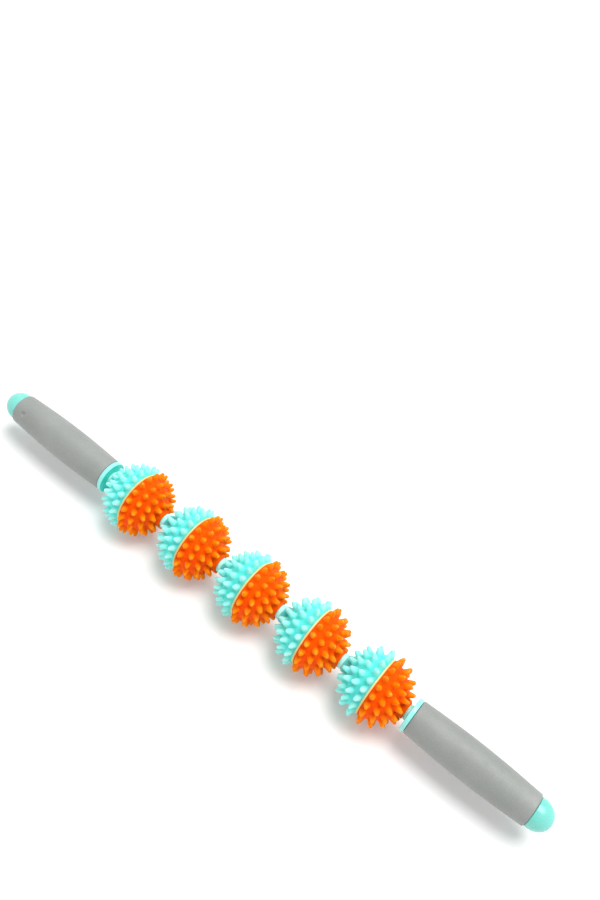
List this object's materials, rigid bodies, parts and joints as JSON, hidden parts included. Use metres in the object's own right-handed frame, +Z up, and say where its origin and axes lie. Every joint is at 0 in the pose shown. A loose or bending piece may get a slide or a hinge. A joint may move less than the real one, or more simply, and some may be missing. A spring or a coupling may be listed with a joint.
{
  "type": "roller massage stick",
  "caption": "Hand-held massage stick: spiked two-colour balls spin on a straight axle between two soft-gripped handles with domed ends.",
  "frame": {"origin": "middle of the middle ball, on the axis of the axle rod", "axes": "+X along the axle rod, towards the orange half of each ball; +Z up as the stick lies on its balls"},
  "size_m": [0.452, 0.0494, 0.0494],
  "materials": {
    "shell_mint": "soft satin moulded plastic, pale mint green",
    "shell_orange": "soft satin moulded plastic, bright orange",
    "handle_mint": "smooth satin moulded plastic, pale mint green",
    "grip_rubber": "matt soft-touch rubber, fine grain, mid grey",
    "bearing_plastic": "plain moulded plastic, pale mint green",
    "axle_steel": "drawn bright steel rod",
    "fastener_steel": "zinc plated steel"
  },
  "bodies": {
    "root": {"axle_rod": "axle_steel", "spacer_1": "bearing_plastic", "spacer_2": "bearing_plastic", "spacer_3": "bearing_plastic", "spacer_4": "bearing_plastic", "spacer_5": "bearing_plastic", "spacer_6": "bearing_plastic", "handle_core_left": "handle_mint", "grip_left": "grip_rubber", "end_cap_left": "handle_mint", "washer_left": "fastener_steel", "end_screw_left": "fastener_steel", "handle_core_right": "handle_mint", "grip_right": "grip_rubber", "end_cap_right": "handle_mint", "washer_right": "fastener_steel", "end_screw_right": "fastener_steel"},
    "ball_1": {"ball_1_mint_shell": "shell_mint", "ball_1_orange_shell": "shell_orange", "ball_1_bush": "bearing_plastic"},
    "ball_2": {"ball_2_mint_shell": "shell_mint", "ball_2_orange_shell": "shell_orange", "ball_2_bush": "bearing_plastic"},
    "ball_3": {"ball_3_mint_shell": "shell_mint", "ball_3_orange_shell": "shell_orange", "ball_3_bush": "bearing_plastic"},
    "ball_4": {"ball_4_mint_shell": "shell_mint", "ball_4_orange_shell": "shell_orange", "ball_4_bush": "bearing_plastic"},
    "ball_5": {"ball_5_mint_shell": "shell_mint", "ball_5_orange_shell": "shell_orange", "ball_5_bush": "bearing_plastic"}
  },
  "joints": [
    {"name": "ball_1_spin", "type": "hinge", "parent": "root", "child": "ball_1", "pos_m": [-0.09993, 0, 0], "axis": [1, 0, 0], "continuous": true},
    {"name": "ball_2_spin", "type": "hinge", "parent": "root", "child": "ball_2", "pos_m": [-0.04996, 0, 0], "axis": [1, 0, 0], "continuous": true},
    {"name": "ball_3_spin", "type": "hinge", "parent": "root", "child": "ball_3", "pos_m": [0, 0, 0], "axis": [1, 0, 0], "continuous": true},
    {"name": "ball_4_spin", "type": "hinge", "parent": "root", "child": "ball_4", "pos_m": [0.04996, 0, 0], "axis": [1, 0, 0], "continuous": true},
    {"name": "ball_5_spin", "type": "hinge", "parent": "root", "child": "ball_5", "pos_m": [0.09993, 0, 0], "axis": [1, 0, 0], "continuous": true}
  ]
}
